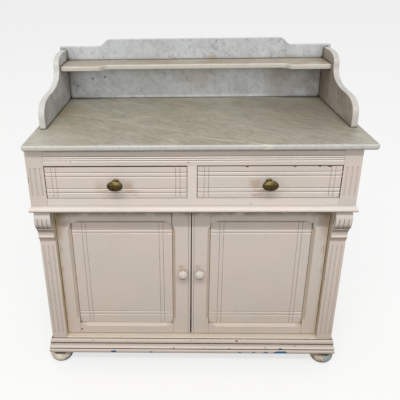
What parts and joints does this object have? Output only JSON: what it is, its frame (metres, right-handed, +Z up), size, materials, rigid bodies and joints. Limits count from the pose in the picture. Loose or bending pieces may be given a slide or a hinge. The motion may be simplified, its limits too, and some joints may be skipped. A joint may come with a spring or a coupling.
{
  "type": "washstand",
  "caption": "Painted pine washstand with a marble top, splashback and side slabs, a marble shelf, drawers over inset panelled doors, a moulded plinth and bun feet.",
  "frame": {"origin": "on the floor, under the middle of the whole object's bounding box", "axes": "+X to the right seen from the front, +Y to the wall behind, +Z up; the front with the drawers and doors faces -Y"},
  "size_m": [1.022, 0.576, 1.056],
  "materials": {
    "marble": "honed pale grey marble with soft grey veins",
    "cream_paint": "old cream-white paint on pine, satin, with dirt in the grooves and small chips",
    "bare_pine": "bare planed pine, darkened by age",
    "aged_brass": "antique brass with dark patina in the hollows",
    "steel": "dull drawn steel"
  },
  "bodies": {
    "carcass": {"marble_top": "marble", "marble_splashback": "marble", "marble_side_left": "marble", "marble_side_right": "marble", "marble_shelf": "marble", "side_panel_left": "cream_paint", "side_panel_right": "cream_paint", "back_panel": "bare_pine", "corner_block_left": "cream_paint", "corner_block_right": "cream_paint", "frieze_rail": "cream_paint", "drawer_divider": "cream_paint", "lower_rail": "cream_paint", "waist_moulding_front": "cream_paint", "waist_moulding_left": "cream_paint", "waist_moulding_right": "cream_paint", "pilaster_left": "cream_paint", "pilaster_right": "cream_paint", "corbel_left": "cream_paint", "corbel_right": "cream_paint", "bottom_board": "cream_paint", "plinth_front": "cream_paint", "plinth_left": "cream_paint", "plinth_right": "cream_paint", "foot_front_left": "cream_paint", "foot_front_right": "cream_paint", "foot_back_left": "cream_paint", "foot_back_right": "cream_paint", "drawer_runner_left": "bare_pine", "drawer_runner_centre": "bare_pine", "drawer_runner_right": "bare_pine", "door_stop": "bare_pine", "door_left_pin_bottom": "steel", "door_left_pin_top": "steel", "door_right_pin_bottom": "steel", "door_right_pin_top": "steel"},
    "drawer_left": {"drawer_left_front": "cream_paint", "drawer_left_side_inner": "bare_pine", "drawer_left_side_outer": "bare_pine", "drawer_left_back": "bare_pine", "drawer_left_bottom": "bare_pine", "drawer_left_knob": "aged_brass"},
    "drawer_right": {"drawer_right_front": "cream_paint", "drawer_right_side_inner": "bare_pine", "drawer_right_side_outer": "bare_pine", "drawer_right_back": "bare_pine", "drawer_right_bottom": "bare_pine", "drawer_right_knob": "aged_brass"},
    "door_left": {"door_left_hinge_stile": "cream_paint", "door_left_meeting_stile": "cream_paint", "door_left_top_rail": "cream_paint", "door_left_bottom_rail": "cream_paint", "door_left_panel": "cream_paint", "door_left_knob": "cream_paint"},
    "door_right": {"door_right_hinge_stile": "cream_paint", "door_right_meeting_stile": "cream_paint", "door_right_top_rail": "cream_paint", "door_right_bottom_rail": "cream_paint", "door_right_panel": "cream_paint", "door_right_knob": "cream_paint"}
  },
  "joints": [
    {"name": "drawer_left_slide", "type": "slide", "parent": "carcass", "child": "drawer_left", "axis": [0, -1, 0], "range_m": [0, 0.34]},
    {"name": "drawer_right_slide", "type": "slide", "parent": "carcass", "child": "drawer_right", "axis": [0, -1, 0], "range_m": [0, 0.34]},
    {"name": "door_left_swing", "type": "hinge", "parent": "carcass", "child": "door_left", "pos_m": [-0.4265, -0.189, 0.372], "axis": [0, 0, -1], "range_deg": [0, 90]},
    {"name": "door_right_swing", "type": "hinge", "parent": "carcass", "child": "door_right", "pos_m": [0.4145, -0.189, 0.372], "axis": [0, 0, 1], "range_deg": [0, 90]}
  ]
}
